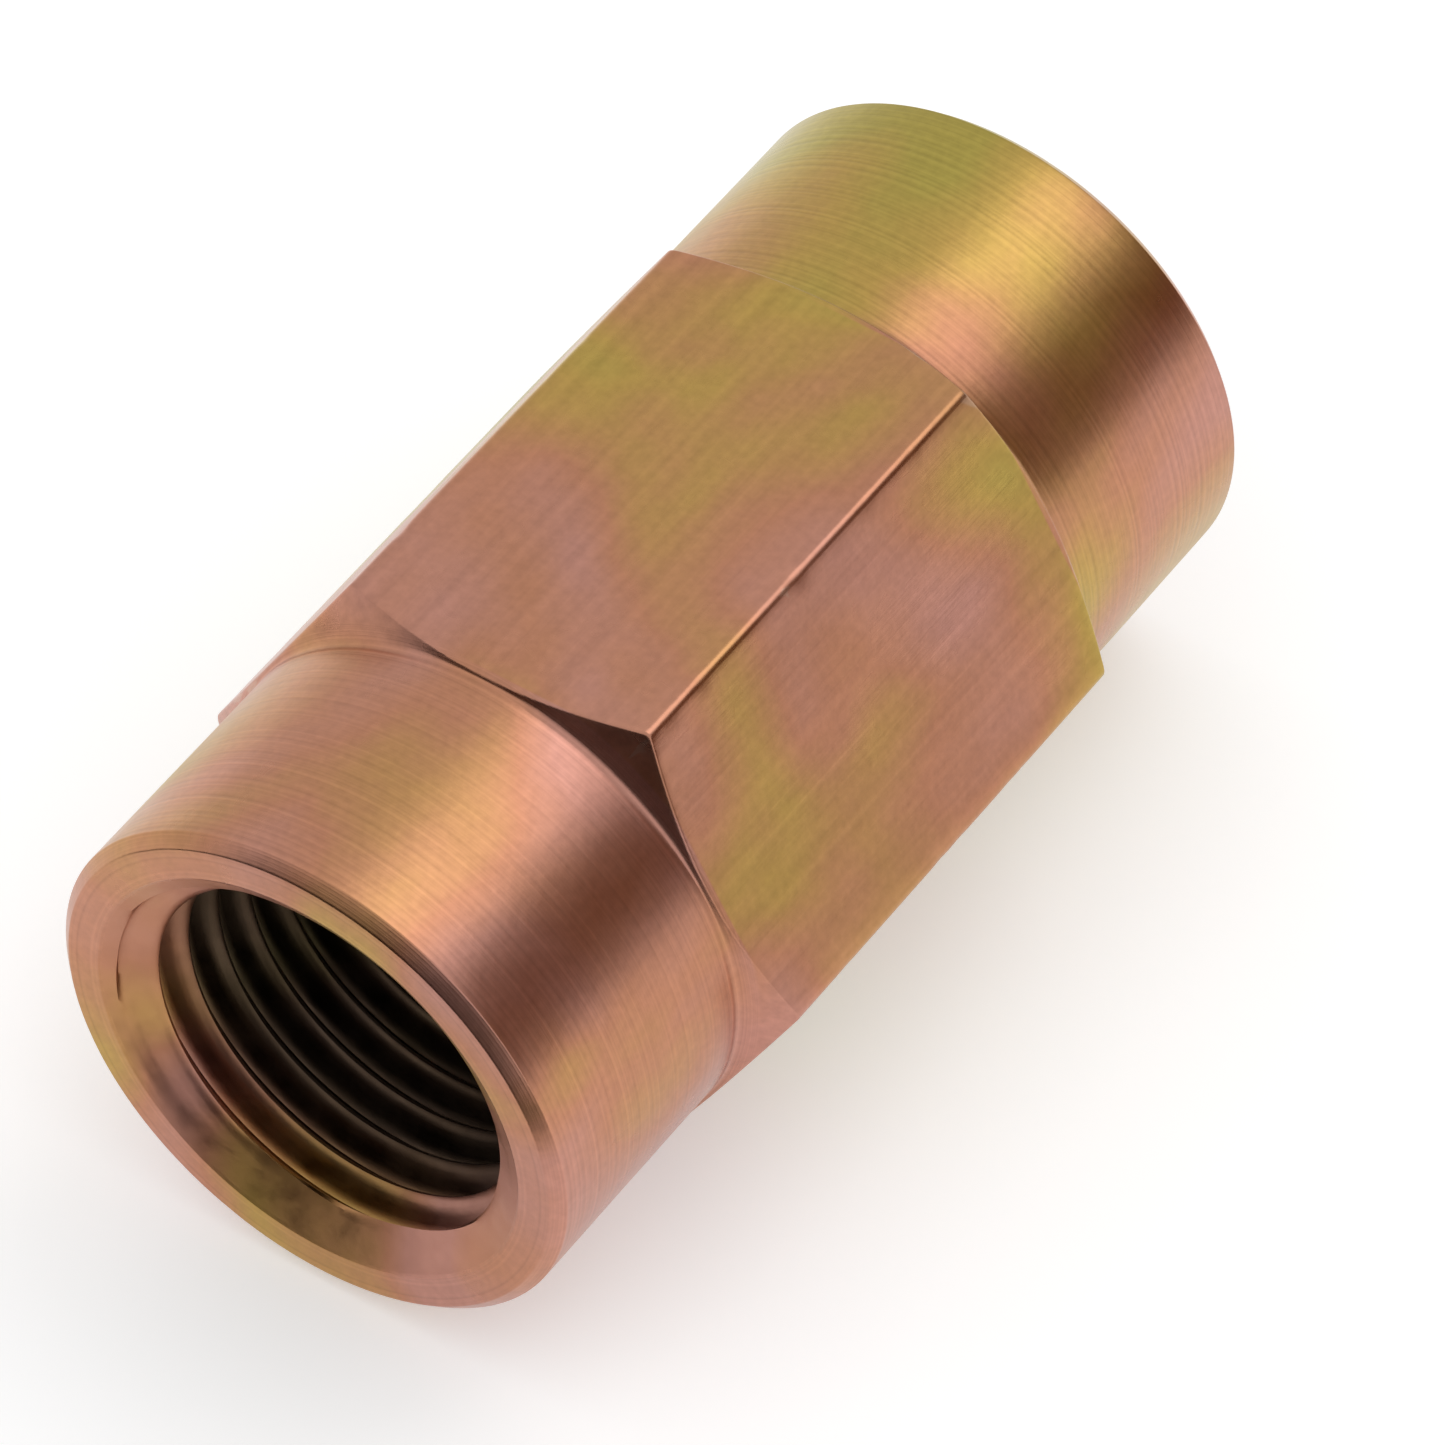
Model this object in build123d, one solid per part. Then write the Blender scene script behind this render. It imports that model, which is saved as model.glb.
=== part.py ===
from build123d import *
import math
import os

# Reducing coupling turned from one length of hexagon bar: a hexagon in the middle for the wrench, a round
# neck at each end, and a tapered pipe thread in each mouth, the larger one at the -Y end.
# Millimetres. The axis lies along Y, the body's centre is the origin, and a flat faces straight up (+Z).

INCH = 25.4

# Outside
body_length = 34.0
hex_across_flats = 17.0
neck_length = 8.5
neck_diameter = 16.7
neck_edge_chamfer = 0.35
neck_root_radius = 0.3
hex_end_chamfer_angle = 30.0
hex_corner_radius = 0.3

# Large socket: 1/4 inch pipe thread, 19 to the inch, in a blind drilled hole
large_thread_pitch = INCH / 19
large_thread_pitch_diameter = 12.301
large_thread_depth = 9.7
large_thread_end_angle = 175.0
large_drill_diameter = 10.8
large_drill_depth = 14.0
large_mouth_diameter = 14.0

# Small socket: 1/8 inch pipe thread, 28 to the inch, with its drilled hole running through to the large one
small_thread_pitch = INCH / 28
small_thread_pitch_diameter = 9.147
small_thread_depth = 6.5
small_thread_end_angle = 0.0
small_drill_diameter = 8.1
small_mouth_diameter = 10.2

# Both threads have the same form: 55 degrees between the flanks, on a taper of 1 in 16.
taper_per_side = 1 / 32
thread_height_in_pitches = 0.6403
thread_flat_in_pitches = 1 / 6
flank_angle = 27.5
countersink_half_angle = 60.0
drill_point_half_angle = 59.0

# The groove cutter starts outside the mouth, and its back stays inside the hole.
cutter_turns = 9
cutter_back_depth = 0.25

half_length = body_length / 2
hex_inner_radius = hex_across_flats / 2
hex_corner_reach = hex_inner_radius / math.cos(math.radians(30))
taper_angle = math.degrees(math.atan(taper_per_side))


def tangent(degrees):
    return math.tan(math.radians(degrees))


def crest_radius_at_gauge(pitch, pitch_diameter):
    """Radius of the thread crests where the countersink ends."""
    return (pitch_diameter - thread_height_in_pitches * pitch) / 2


def countersink_depth(mouth_diameter, crest_radius):
    return (mouth_diameter / 2 - crest_radius) / tangent(countersink_half_angle)


def revolved(corners):
    """Solid of revolution about Y whose half section has these (radius, y) corners."""
    return revolve(make_face(Polyline(*corners, close=True)), Axis.Y, 360)


def hexagon_bar():
    outline = RegularPolygon(hex_inner_radius, 6, major_radius=False)
    bar = extrude(Plane.XZ * outline, amount=half_length, both=True)
    return fillet(bar.edges().filter_by(Axis.Y), hex_corner_radius)


def turned_outside():
    """What turning leaves: the two necks and, between them, the cone at each end of the hexagon."""
    neck_radius = neck_diameter / 2
    shoulder = half_length - neck_length
    cone_length = (hex_corner_reach - neck_radius) * tangent(hex_end_chamfer_angle)
    one_side = [
        (neck_radius - neck_edge_chamfer, half_length),
        (neck_radius, half_length - neck_edge_chamfer),
        (neck_radius, shoulder),
        (hex_corner_reach, shoulder - cone_length),
    ]
    other_side = [(radius, -y) for radius, y in reversed(one_side)]
    turned = revolved([(0, half_length), *one_side, *other_side, (0, -half_length)])
    neck_roots = turned.edges().filter_by_position(Axis.Y, shoulder, shoulder)
    neck_roots += turned.edges().filter_by_position(Axis.Y, -shoulder, -shoulder)
    return fillet(neck_roots, neck_root_radius)


def drilled_hole(crest_radius, drill_diameter, drill_depth, mouth_diameter):
    """Half section of one socket before threading, its mouth at y = 0 and its depth along +Y."""
    drill_radius = drill_diameter / 2
    reaming_start = countersink_depth(mouth_diameter, crest_radius)
    reaming_end = reaming_start + (crest_radius - drill_radius) / taper_per_side
    return [
        (0, 0),
        (mouth_diameter / 2, 0),
        (crest_radius, reaming_start),
        (drill_radius, reaming_end),
        (drill_radius, drill_depth),
    ]


def tapered_helix(pitch, start_y, start_radius):
    """Right-hand helix narrowing along +Y, with one edge for each turn."""
    turns = []
    y, radius, angle = start_y, start_radius, 0
    for _ in range(cutter_turns):
        turn = Edge.make_helix(pitch, pitch, radius, (0, y, 0), (0, 1, 0), -taper_angle)
        turn_start = math.degrees(math.atan2((turn @ 0).Z, (turn @ 0).X))
        turn = turn.rotate(Axis.Y, turn_start - angle)
        end = turn @ 1
        y, radius, angle = end.Y, math.hypot(end.X, end.Z), math.degrees(math.atan2(end.Z, end.X))
        turns.append(turn)
    return Wire(turns)


def thread_groove(pitch, crest_radius, thread_depth, end_angle, mouth_diameter):
    """The groove that a taper tap leaves, from outside the mouth to the thread's full depth."""
    height = thread_height_in_pitches * pitch
    root_half_width = thread_flat_in_pitches * pitch / 2
    crest_half_width = root_half_width + height * tangent(flank_angle)
    start_y = thread_depth - cutter_turns * pitch
    gauge_y = countersink_depth(mouth_diameter, crest_radius)
    start_radius = crest_radius + (gauge_y - start_y) * taper_per_side
    path = tapered_helix(pitch, start_y, start_radius)
    section = make_face(
        Polyline(
            (-cutter_back_depth, -crest_half_width),
            (0, -crest_half_width),
            (height, -root_half_width),
            (height, root_half_width),
            (0, crest_half_width),
            (-cutter_back_depth, crest_half_width),
            close=True,
        )
    )
    groove = sweep(Plane(path @ 0, x_dir=(1, 0, 0), z_dir=path % 0) * section, path, is_frenet=True)
    return groove.rotate(Axis.Y, end_angle)


def large_socket():
    crest_radius = crest_radius_at_gauge(large_thread_pitch, large_thread_pitch_diameter)
    hole = drilled_hole(crest_radius, large_drill_diameter, large_drill_depth, large_mouth_diameter)
    point_length = large_drill_diameter / 2 / tangent(drill_point_half_angle)
    hole.append((0, large_drill_depth + point_length))
    groove = thread_groove(
        large_thread_pitch, crest_radius, large_thread_depth, large_thread_end_angle, large_mouth_diameter
    )
    return revolved(hole), groove


def small_socket():
    crest_radius = crest_radius_at_gauge(small_thread_pitch, small_thread_pitch_diameter)
    through_depth = body_length - large_drill_depth
    hole = drilled_hole(crest_radius, small_drill_diameter, through_depth, small_mouth_diameter)
    hole.append((0, through_depth))
    groove = thread_groove(
        small_thread_pitch, crest_radius, small_thread_depth, small_thread_end_angle, small_mouth_diameter
    )
    return revolved(hole), groove


def coupling_body():
    body = hexagon_bar() & turned_outside()
    large_mouth = Location((0, -half_length, 0))
    small_mouth = Location((0, half_length, 0), (0, 0, 180))
    for mouth, socket in ((large_mouth, large_socket()), (small_mouth, small_socket())):
        for cut in socket:
            body -= mouth * cut
    return body


os.makedirs("parts", exist_ok=True)
export_step(coupling_body(), "parts/coupling_body.step")
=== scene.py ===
import math
import random

import bmesh
import bpy
import numpy as np
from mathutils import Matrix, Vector


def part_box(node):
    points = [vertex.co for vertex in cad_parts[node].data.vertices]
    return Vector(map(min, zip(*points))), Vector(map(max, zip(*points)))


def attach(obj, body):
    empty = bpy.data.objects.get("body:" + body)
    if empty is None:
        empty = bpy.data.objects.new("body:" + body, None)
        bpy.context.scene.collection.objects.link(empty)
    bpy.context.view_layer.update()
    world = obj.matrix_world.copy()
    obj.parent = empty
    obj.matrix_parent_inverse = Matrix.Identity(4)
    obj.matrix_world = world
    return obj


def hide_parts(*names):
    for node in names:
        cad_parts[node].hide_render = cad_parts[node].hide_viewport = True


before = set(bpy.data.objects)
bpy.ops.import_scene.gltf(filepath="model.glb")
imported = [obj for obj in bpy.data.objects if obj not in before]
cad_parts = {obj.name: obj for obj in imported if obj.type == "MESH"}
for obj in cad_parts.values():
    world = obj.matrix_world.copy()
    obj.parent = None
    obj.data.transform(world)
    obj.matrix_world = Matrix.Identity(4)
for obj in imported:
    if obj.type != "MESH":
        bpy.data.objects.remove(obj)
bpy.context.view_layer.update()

# ---------------------------------------------------------------- sizes, in metres and the part's own frame

MM = 0.001
BODY = "coupling_body"
low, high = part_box(BODY)
half_length = high.y
flat_reach = high.z
corner_reach = high.x

half_side = math.radians(30)  # half the angle that one flat of the hexagon spans
corner_radius = (flat_reach / math.cos(half_side) - corner_reach) / (1 / math.cos(half_side) - 1)
neck_radius = 8.35 * MM
neck_length = 8.5 * MM
shoulder = half_length - neck_length
neck_chamfer = 0.35 * MM
hex_end_slope = math.tan(math.radians(30))

# Rounding of the mouths' edges, the outside edges and the neck's root
DEBURR = 0.05 * MM
NECK_EDGE = 0.1 * MM
NECK_ROOT = 0.3 * MM
HEX_EDGE = 0.14 * MM

# Both threads: taper for each side, height in pitches
TAPER = 1 / 32
THREAD_HEIGHT = 0.6403
COUNTERSINK_SLOPE = math.tan(math.radians(60))
DRILL_POINT_SLOPE = math.tan(math.radians(59))

# Each socket: pitch, pitch diameter, drill radius, mouth radius, and how deep the thread and the hole go.
# The thread ends at end_angle, measured round the hole from +Z.
LARGE = dict(pitch=25.4 / 19 * MM, pitch_diameter=12.301 * MM, drill=5.4 * MM, mouth=7.0 * MM,
             thread=9.7 * MM, hole=14.0 * MM, end_angle=math.radians(265))
SMALL = dict(pitch=25.4 / 28 * MM, pitch_diameter=9.147 * MM, drill=4.05 * MM, mouth=5.1 * MM,
             thread=6.5 * MM, hole=20.0 * MM, end_angle=math.radians(90))

COLUMNS_PER_FLAT = 30
COLUMNS_PER_CORNER = 6
ROWS_ON_FLAT = 90
ROWS_PER_PITCH = 12


# ---------------------------------------------------------------- mesh of the coupling

def column_angles():
    """Angles round the axis, from +Z towards +X, closer together on the hexagon's rounded corners."""
    corner_centre = (flat_reach - corner_radius) / math.cos(half_side)
    tangent_x = corner_centre * math.sin(half_side)
    tangent_angle = math.atan2(tangent_x, flat_reach)
    flat = [math.atan(math.tan(tangent_angle) * t) for t in np.linspace(-1, 1, COLUMNS_PER_FLAT + 1)]
    corner = list(np.linspace(tangent_angle, 2 * half_side - tangent_angle, COLUMNS_PER_CORNER + 1))[1:-1]
    angles = [side * 2 * half_side + a for side in range(6) for a in flat + corner]
    return np.array(angles + [angles[0] + 2 * math.pi])


def hexagon_radius(angle):
    """Distance from the axis to the rounded hexagon in that direction."""
    from_flat = (angle + half_side) % (2 * half_side) - half_side
    on_flat = flat_reach / math.cos(from_flat)
    corner_centre = (flat_reach - corner_radius) / math.cos(half_side)
    from_corner = half_side - abs(from_flat)
    inside = corner_radius ** 2 - (corner_centre * math.sin(from_corner)) ** 2
    if inside <= 0:
        return on_flat
    return min(on_flat, corner_centre * math.cos(from_corner) + math.sqrt(inside))


def rounded(corners, steps=4, longest_share=0.42):
    """(radius, y) points along a polyline, easing its corners: (radius, y, rounding, rows before it)."""
    points = [corners[0][:2]]
    for before, corner, after in zip(corners, corners[1:], corners[2:]):
        here = Vector(corner[:2])
        back = Vector(before[:2]) - here
        ahead = Vector(after[:2]) - here
        turn = math.pi - back.angle(ahead)
        reach = corner[2] * math.tan(turn / 2)
        reach = min(reach, longest_share * back.length, longest_share * ahead.length)
        start = here + back.normalized() * reach
        end = here + ahead.normalized() * reach
        points += spaced(points[-1], start, corner[3])
        for step in range(steps + 1):
            t = step / steps
            blend = (1 - t) ** 2, 2 * t * (1 - t), t ** 2
            points.append(tuple(blend[0] * start + blend[1] * here + blend[2] * end))
    points += spaced(points[-1], corners[-1][:2], corners[-1][3])
    points.append(tuple(corners[-1][:2]))
    return points


def spaced(start, end, rows):
    """Points between start and end, leaving out both."""
    start, end = Vector(start), Vector(end)
    return [tuple(start.lerp(end, (i + 1) / (rows + 1))) for i in range(rows)]


def outside_profile(angle):
    """(radius, y) points from the large mouth to the small one, for one angle round the axis."""
    reach = hexagon_radius(angle)
    cone = (reach - neck_radius) * hex_end_slope
    one_side = [
        (neck_radius - neck_chamfer, -half_length, NECK_EDGE, 4),
        (neck_radius, -half_length + neck_chamfer, NECK_EDGE, 1),
        (neck_radius, -shoulder, NECK_ROOT, 14),
        (reach, -shoulder + cone, HEX_EDGE, 3),
    ]
    rows_before = (ROWS_ON_FLAT, 3, 14, 1)
    other_side = [(r, -y, ease, rows) for (r, y, ease, _), rows in zip(reversed(one_side), rows_before)]
    lip = DEBURR * COUNTERSINK_SLOPE
    large_edge = [
        (LARGE["mouth"] - lip, -half_length + DEBURR, 0, 0),
        (LARGE["mouth"], -half_length, DEBURR, 0),
    ]
    small_edge = [
        (SMALL["mouth"], half_length, DEBURR, 6),
        (SMALL["mouth"] - lip, half_length - DEBURR, 0, 0),
    ]
    return rounded(large_edge + one_side + other_side + small_edge)


def thread_rows(socket, angle):
    """(radius, depth) points down one threaded hole, in rows that follow the thread's right-hand helix."""
    pitch = socket["pitch"]
    height = THREAD_HEIGHT * pitch
    crest = (socket["pitch_diameter"] - height) / 2
    gauge = (socket["mouth"] - crest) / COUNTERSINK_SLOPE
    bottom = gauge + (crest - socket["drill"]) / TAPER
    turn = (angle - socket["end_angle"]) / (2 * math.pi)
    first_row = -2 * ROWS_PER_PITCH
    last_row = int((bottom / pitch + 2) * ROWS_PER_PITCH)
    points = []
    for row in range(first_row, last_row):
        turns_deep = row / ROWS_PER_PITCH
        depth = socket["thread"] % pitch + (turns_deep + turn) * pitch
        depth = min(max(depth, DEBURR), bottom)
        phase = (depth - socket["thread"]) / pitch - turn
        reamed = crest - (depth - gauge) * TAPER
        past_end = max(0, depth - socket["thread"]) / pitch
        groove = height * (1 + math.cos(2 * math.pi * phase)) / 2 * max(0, 1 - 2 * past_end)
        countersink = socket["mouth"] - depth * COUNTERSINK_SLOPE
        points.append((max(reamed + groove, countersink, socket["drill"]), depth))
    return points


def inside_profile(angle):
    """(radius, y) points from the small mouth back to the large one."""
    small = [(r, half_length - depth) for r, depth in thread_rows(SMALL, -angle)]
    large = [(r, depth - half_length) for r, depth in thread_rows(LARGE, angle)]
    point_length = (LARGE["drill"] - SMALL["drill"]) / DRILL_POINT_SLOPE
    hole_end = LARGE["hole"] - half_length
    middle = rounded([
        (*small[-1], 0, 0),
        (SMALL["drill"], hole_end + point_length, 0.05 * MM, 6),
        (LARGE["drill"], hole_end, 0.3 * MM, 1),
        (*large[-1], 0, 4),
    ])
    return small + middle[1:-1] + large[::-1]


def nicks():
    """(place, size, depth) of small dents on the hexagon's corners and the mouths' outer edges."""
    draw = random.Random(11)
    dents = []
    for corner in range(6):
        angle = half_side + corner * 2 * half_side
        for _ in range(7):
            along = draw.uniform(-shoulder, shoulder)
            place = Vector((corner_reach * math.sin(angle), along, corner_reach * math.cos(angle)))
            dents.append((place, draw.uniform(0.15, 0.4) * MM, draw.uniform(0.008, 0.025) * MM))
    for end in (-1, 1):
        for _ in range(9):
            angle = draw.uniform(0, 2 * math.pi)
            edge = neck_radius - neck_chamfer / 2
            place = Vector((edge * math.sin(angle), end * half_length, edge * math.cos(angle)))
            dents.append((place, draw.uniform(0.15, 0.35) * MM, draw.uniform(0.006, 0.02) * MM))
    return dents


def dented(points):
    """Pulls points in towards the axis near each nick."""
    radial = points * np.array([1, 0, 1])
    radial /= np.linalg.norm(radial, axis=1)[:, None]
    moved = points.copy()
    for place, size, depth in nicks():
        away = np.linalg.norm(points - np.array(place), axis=1) / size
        moved -= radial * (depth * np.exp(-away ** 2))[:, None]
    return moved


def coupling_mesh():
    """One column of points for each angle, along the outside and back through the hole."""
    angles = column_angles()
    columns = []
    for angle in angles:
        outside = outside_profile(angle)
        profile = outside + inside_profile(angle)
        columns.append([(r * math.sin(angle), y, r * math.cos(angle)) for r, y in profile])
    rows = len(columns[0])
    outside_rows = len(outside)
    grid = np.array(columns)
    outer = grid[:, :outside_rows]
    grid[:, :outside_rows] = dented(outer.reshape(-1, 3)).reshape(outer.shape)
    faces, materials = [], []
    for c in range(len(angles) - 1):
        for r in range(rows):
            below = (r + 1) % rows
            faces.append((c * rows + r, c * rows + below, (c + 1) * rows + below, (c + 1) * rows + r))
            materials.append(0 if r < outside_rows - 1 else 1)
    mesh = bpy.data.meshes.new("coupling")
    mesh.from_pydata(grid.reshape(-1, 3).tolist(), [], faces)
    mesh.polygons.foreach_set("material_index", materials)
    return mesh


def cleaned(mesh):
    """Welds the seam and the rows that meet at a thread's ends, and points every face outwards."""
    weld = 0.0005 * MM
    work = bmesh.new()
    work.from_mesh(mesh)
    bmesh.ops.remove_doubles(work, verts=work.verts, dist=weld)
    bmesh.ops.dissolve_degenerate(work, edges=work.edges, dist=weld)
    bmesh.ops.recalc_face_normals(work, faces=work.faces)
    work.to_mesh(mesh)
    work.free()
    mesh.polygons.foreach_set("use_smooth", [True] * len(mesh.polygons))
    mesh.set_sharp_from_angle(angle=math.radians(33))
    return mesh


# ---------------------------------------------------------------- materials

class Shader:
    """A material being built: short calls that add nodes and return their outputs."""

    def __init__(self, name):
        self.material = bpy.data.materials.new(name)
        self.material.use_nodes = True
        self.tree = self.material.node_tree
        self.bsdf = self.tree.nodes["Principled BSDF"]
        coordinates = self.tree.nodes.new("ShaderNodeTexCoord").outputs["Object"]
        split = self.node("ShaderNodeSeparateXYZ", {0: coordinates})
        self.x, self.y, self.z = split.outputs
        self.place = coordinates

    def node(self, kind, inputs=None, **settings):
        node = self.tree.nodes.new(kind)
        for key, value in settings.items():
            setattr(node, key, value)
        for key, value in (inputs or {}).items():
            if isinstance(value, bpy.types.NodeSocket):
                self.tree.links.new(value, node.inputs[key])
            else:
                node.inputs[key].default_value = value
        return node

    def math(self, operation, *values):
        return self.node("ShaderNodeMath", dict(enumerate(values)), operation=operation).outputs[0]

    def scaled(self, scale):
        return self.node("ShaderNodeVectorMath", {0: self.place, 1: scale}, operation="MULTIPLY").outputs[0]

    def noise(self, vector, detail=3.0, roughness=0.5, distortion=0.0):
        inputs = {"Vector": vector, "Scale": 1.0, "Detail": detail}
        inputs.update({"Roughness": roughness, "Distortion": distortion})
        return self.node("ShaderNodeTexNoise", inputs).outputs["Fac"]

    def line_noise(self, along, scale, detail=3.0):
        inputs = {"W": along, "Scale": scale, "Detail": detail}
        return self.node("ShaderNodeTexNoise", inputs, noise_dimensions="1D").outputs["Fac"]

    def remap(self, value, low, high, to_low, to_high, smooth=True):
        inputs = {0: value, 1: low, 2: high, 3: to_low, 4: to_high}
        kind = "SMOOTHSTEP" if smooth else "LINEAR"
        return self.node("ShaderNodeMapRange", inputs, interpolation_type=kind).outputs[0]

    def ramp(self, value, stops):
        node = self.node("ShaderNodeValToRGB", {0: value})
        elements = node.color_ramp.elements
        while len(elements) < len(stops):
            elements.new(0.5)
        for element, (position, colour) in zip(elements, stops):
            element.position = position
            element.color = (*colour, 1)
        return node.outputs[0]

    def mix(self, share, first, second, blend="MIX"):
        node = self.tree.nodes.new("ShaderNodeMix")
        node.data_type = "RGBA"
        node.blend_type = blend
        for index, value in ((0, share), (6, first), (7, second)):
            if isinstance(value, bpy.types.NodeSocket):
                self.tree.links.new(value, node.inputs[index])
            else:
                node.inputs[index].default_value = value if index == 0 else (*value, 1)
        return node.outputs[2]

    def bump(self, height, distance, strength=1.0, under=None):
        inputs = {"Height": height, "Distance": distance, "Strength": strength}
        if under is not None:
            inputs["Normal"] = under
        return self.node("ShaderNodeBump", inputs).outputs[0]

    def set(self, **values):
        for key, value in values.items():
            socket = self.bsdf.inputs[key.replace("_", " ")]
            if isinstance(value, bpy.types.NodeSocket):
                self.tree.links.new(value, socket)
            else:
                socket.default_value = value


# The plating's colours, from pink through gold to green.
CHROMATE = (
    (0.22, (0.54, 0.26, 0.20)),
    (0.38, (0.53, 0.24, 0.14)),
    (0.50, (0.52, 0.28, 0.11)),
    (0.60, (0.51, 0.33, 0.09)),
    (0.74, (0.44, 0.35, 0.08)),
)


def hexagon_or_neck(s, on_hexagon, on_neck):
    """One value on the hexagon and another on the necks, changing over just inside the shoulders."""
    from_middle = s.math("ABSOLUTE", s.y)
    return s.remap(from_middle, shoulder - 0.35 * MM, shoulder - 0.25 * MM, on_hexagon, on_neck)


def chromate_tone(s):
    """Where the film is pink, gold or green: soft patches, pinker at the large end, and a painted highlight
    tint that pulls one side pinker where the softbox highlight falls.
    """
    broad = s.noise(s.scaled((110, 85, 110)), detail=1.5, distortion=0.6)
    broad = s.remap(broad, 0.2, 0.8, 0.08, 0.92, smooth=False)
    fine = s.noise(s.scaled((420, 300, 420)), detail=3.0, roughness=0.6)
    patches = s.math("ADD", broad, s.math("MULTIPLY", s.math("SUBTRACT", fine, 0.5), 0.14))
    # Painted highlight colour: the side where the softbox highlight falls is pulled pinker, more on the
    # necks than on the hexagon.
    towards_highlight_side = s.math("ADD", s.math("MULTIPLY", s.x, 0.64), s.math("MULTIPLY", s.z, 0.77))
    strength = hexagon_or_neck(s, 0.13, 0.30)
    highlight_tint = s.math("MULTIPLY", strength, s.remap(towards_highlight_side, 5.5 * MM, 8.2 * MM, 0, -1))
    end_drift = s.remap(s.y, -half_length, half_length, -0.06, 0.12)
    return s.math("ADD", patches, s.math("ADD", highlight_tint, end_drift))


def plated_outside():
    """Turning lines on the necks, drawing lines on the flats, a fine speckle, and lighter hexagon edges,
    partly worn plating and partly a painted edge highlight.
    """
    s = Shader("plated_steel_outside")
    colour = s.ramp(chromate_tone(s), CHROMATE)
    radius = s.math("SQRT", s.math("ADD", s.math("MULTIPLY", s.x, s.x), s.math("MULTIPLY", s.z, s.z)))
    across = s.math("ADD", s.y, s.math("MULTIPLY", radius, 1.3))
    turning = s.line_noise(across, 6500.0)
    drawing = s.noise(s.scaled((2600, 45, 2600)), detail=4.0, roughness=0.6)
    marks = s.node("ShaderNodeMix", {0: hexagon_or_neck(s, 0, 1), 2: drawing, 3: turning}).outputs[0]
    speckle = s.noise(s.scaled((3800, 3800, 3800)), detail=2.0)
    texture = s.math("ADD", s.math("MULTIPLY", marks, 0.6), s.math("MULTIPLY", speckle, 0.4))
    shade = s.remap(texture, 0.3, 0.7, 0.84, 1.1, smooth=False)
    shade_colour = s.node("ShaderNodeCombineColor", {0: shade, 1: shade, 2: shade}).outputs[0]
    colour = s.mix(1.0, colour, shade_colour, blend="MULTIPLY")
    # Lighter hexagon edges: partly worn plating, partly a painted highlight along the edges.
    pointiness = s.node("ShaderNodeNewGeometry").outputs["Pointiness"]
    on_hexagon = s.remap(s.math("ABSOLUTE", s.y), shoulder, shoulder + 0.3 * MM, 0.35, 0)
    worn_and_edge_highlight = s.remap(pointiness, 0.54, 0.61, 0, on_hexagon)
    colour = s.mix(worn_and_edge_highlight, colour, (0.62, 0.46, 0.36))
    smear = s.noise(s.scaled((160, 120, 160)), detail=4.0, roughness=0.65)
    roughness = s.remap(smear, 0.25, 0.75, 0.24, 0.36)
    coarse = s.bump(s.noise(s.scaled((180, 90, 180)), detail=2.0), 0.06 * MM, 0.5)
    lines = s.bump(marks, 0.006 * MM, 0.8, under=coarse)
    grain = s.bump(speckle, 0.004 * MM, 0.6, under=lines)
    s.set(Base_Color=colour, Metallic=1.0, Roughness=roughness, Normal=grain)
    return s.material


def plated_inside():
    """The same colours at the mouths, with painted shade making them much darker from 3.5 mm in, on a
    rougher surface.
    """
    s = Shader("plated_steel_inside")
    colour = s.ramp(chromate_tone(s), CHROMATE)
    # Painted shade: the colour darkens towards near black deeper into each hole.
    from_mouth = s.math("SUBTRACT", half_length, s.math("ABSOLUTE", s.y))
    depth = s.remap(from_mouth, 0.9 * MM, 3.5 * MM, 0, 0.9)
    colour = s.mix(depth, colour, (0.05, 0.045, 0.03))
    chatter = s.noise(s.scaled((900, 900, 900)), detail=4.0, roughness=0.6)
    roughness = s.remap(chatter, 0.3, 0.7, 0.28, 0.45, smooth=False)
    s.set(Base_Color=colour, Metallic=1.0, Roughness=roughness, Normal=s.bump(chatter, 0.02 * MM, 0.7))
    return s.material


def matte(name, colour, glow=0.0):
    s = Shader(name)
    s.set(Base_Color=(*colour, 1), Roughness=0.9, Specular_IOR_Level=0.1)
    if glow:
        s.set(Emission_Color=(1, 1, 1, 1), Emission_Strength=glow)
    return s.material


# ---------------------------------------------------------------- the piece

def build_coupling():
    piece = bpy.data.objects.new("coupling", cleaned(coupling_mesh()))
    bpy.context.collection.objects.link(piece)
    for material in (plated_outside(), plated_inside()):
        piece.data.materials.append(material)
    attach(piece, "root")
    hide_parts(BODY)
    return piece


# ---------------------------------------------------------------- stage

def card(name, size, place, facing, material):
    """A flat rectangle of the given width and height, centred at place, that faces a point."""
    half_width, half_height = size[0] / 2, size[1] / 2
    corners = [(-half_width, -half_height, 0), (half_width, -half_height, 0),
               (half_width, half_height, 0), (-half_width, half_height, 0)]
    mesh = bpy.data.meshes.new(name)
    mesh.from_pydata(corners, [], [(0, 1, 2, 3)])
    mesh.materials.append(material)
    thing = bpy.data.objects.new(name, mesh)
    thing.location = place
    thing.rotation_euler = (Vector(facing) - Vector(place)).to_track_quat("Z", "Y").to_euler()
    bpy.context.collection.objects.link(thing)
    return thing


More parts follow.
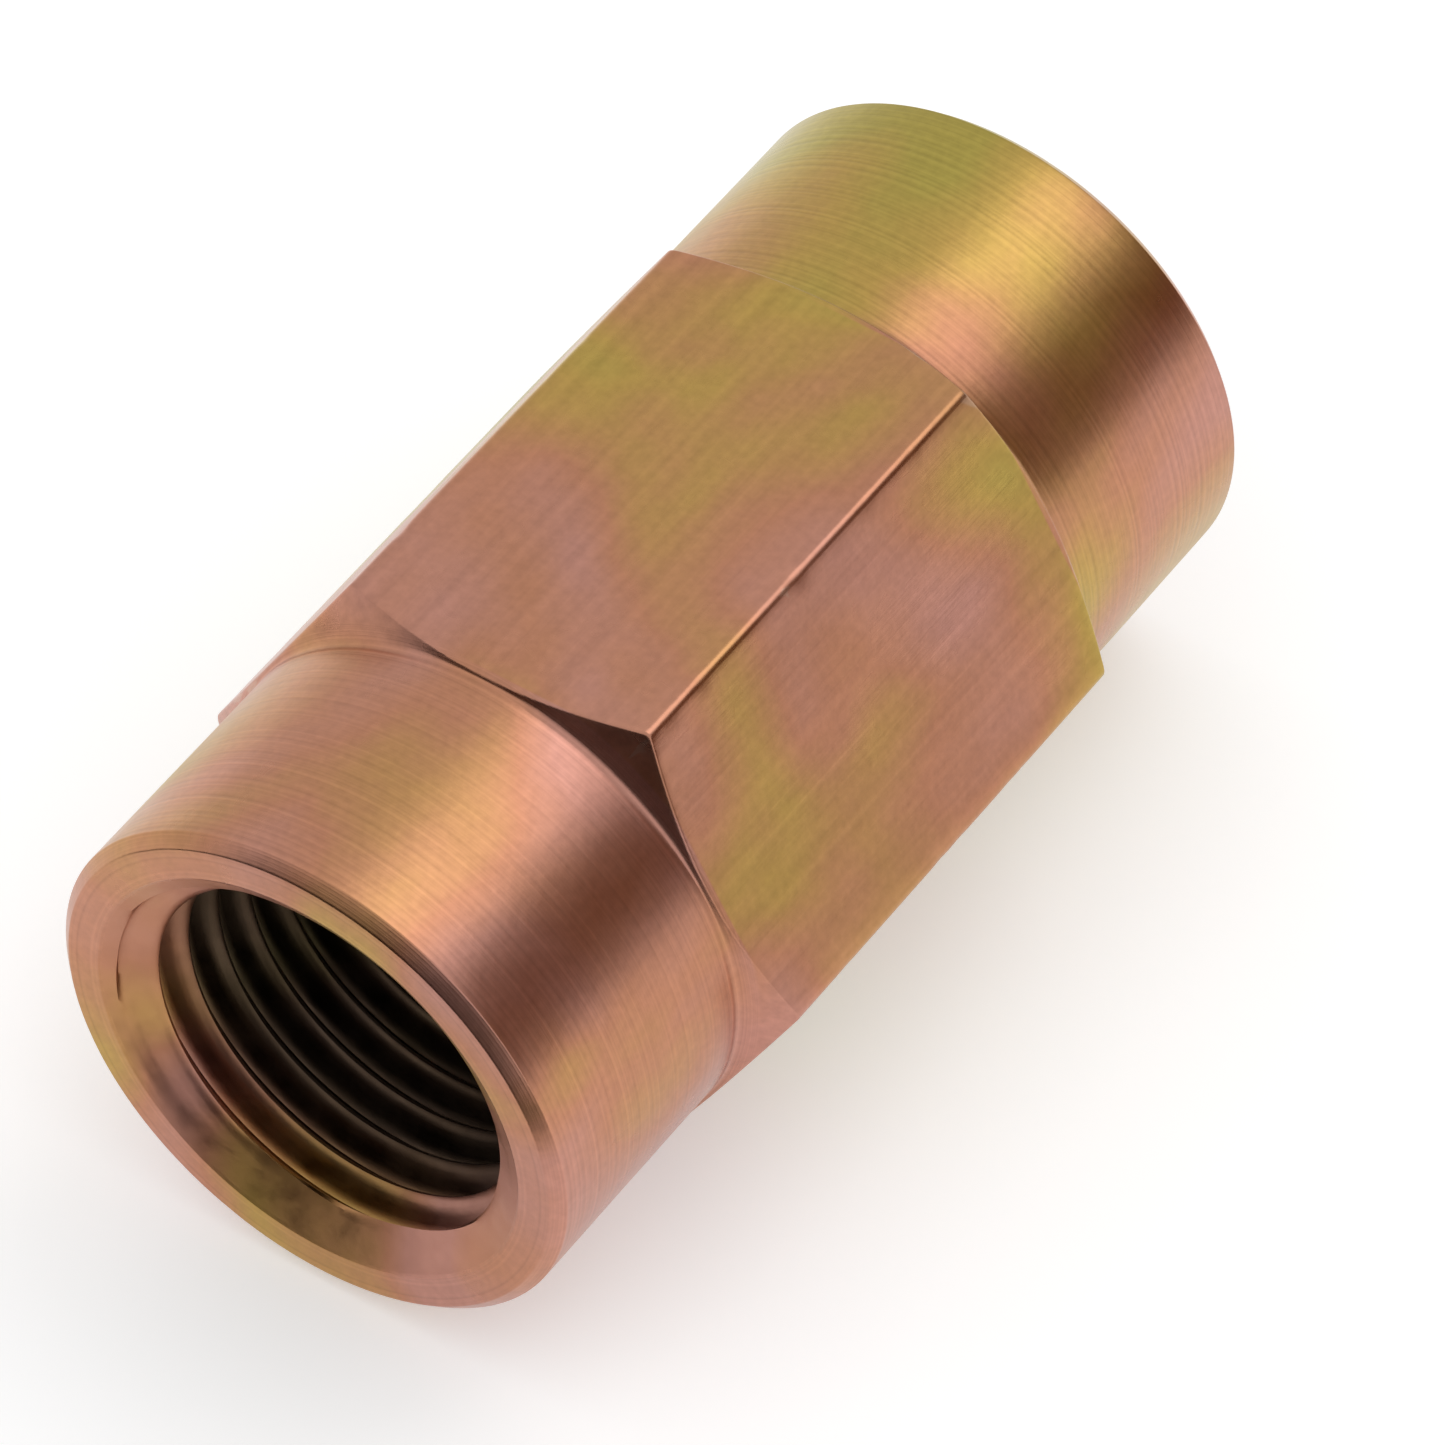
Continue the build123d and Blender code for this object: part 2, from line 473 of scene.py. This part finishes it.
def softbox(name, place, size, power):
    light = bpy.data.lights.new(name, "AREA")
    light.shape = "RECTANGLE"
    light.size, light.size_y = size
    light.energy = power
    lamp = bpy.data.objects.new(name, light)
    lamp.location = place
    lamp.rotation_euler = (-Vector(place)).to_track_quat("-Z", "Y").to_euler()
    bpy.context.collection.objects.link(lamp)
    return lamp


def build_stage():
    """A pale floor, three cards that only reflections see, a softbox and a white surround."""
    floor_level = low.z
    card("floor", (3, 3), (0, 0, floor_level), (0, 0, 1), matte("pale_floor", (0.9, 0.9, 0.9), glow=0.3))
    brown = matte("brown_card", (0.17, 0.09, 0.05))
    dark = matte("dark_card", (0.04, 0.03, 0.03))
    side = card("side_card", (0.75, 0.36), (0.40, 0.225, 0.20), (0, 0, 0.20), brown)
    width, height, offset, distance = 0.12, 0.055, 0.005, 0.075
    middle = floor_level + height / 2
    front = card("front_card", (width, height), (offset, -distance, middle), (offset, 0, middle), dark)
    reach, clearance = 0.041, 0.3 * MM
    lying = (offset, reach / 2 - distance, floor_level + clearance)
    low_front = card("low_front_card", (width, reach), lying, (lying[0], lying[1], 1), dark)
    for flag in (side, front, low_front):
        flag.visible_camera = False
        flag.visible_diffuse = False
        flag.visible_shadow = False
    softbox("overhead_softbox", (0.12, 0.29, 0.54), (0.36, 0.36), 0.46)
    world = bpy.data.worlds.new("studio")
    world.use_nodes = True
    background = world.node_tree.nodes["Background"]
    background.inputs["Color"].default_value = (0.8, 0.8, 0.8, 1)
    bpy.context.scene.world = world


def build_camera():
    azimuth, elevation = math.radians(34.24), math.radians(48.13)
    camera = bpy.data.cameras.new("camera")
    camera.lens = 269.4
    camera.sensor_width = 36
    camera.clip_start = 0.01
    stand = bpy.data.objects.new("camera", camera)
    stand.location = (115.11 * MM, -166.12 * MM, 224.31 * MM)
    stand.rotation_euler = (math.pi / 2 - elevation, 0, azimuth)
    bpy.context.collection.objects.link(stand)
    bpy.context.scene.camera = stand


build_camera()
build_stage()
build_coupling()
bpy.context.scene.view_settings.view_transform = "Standard"
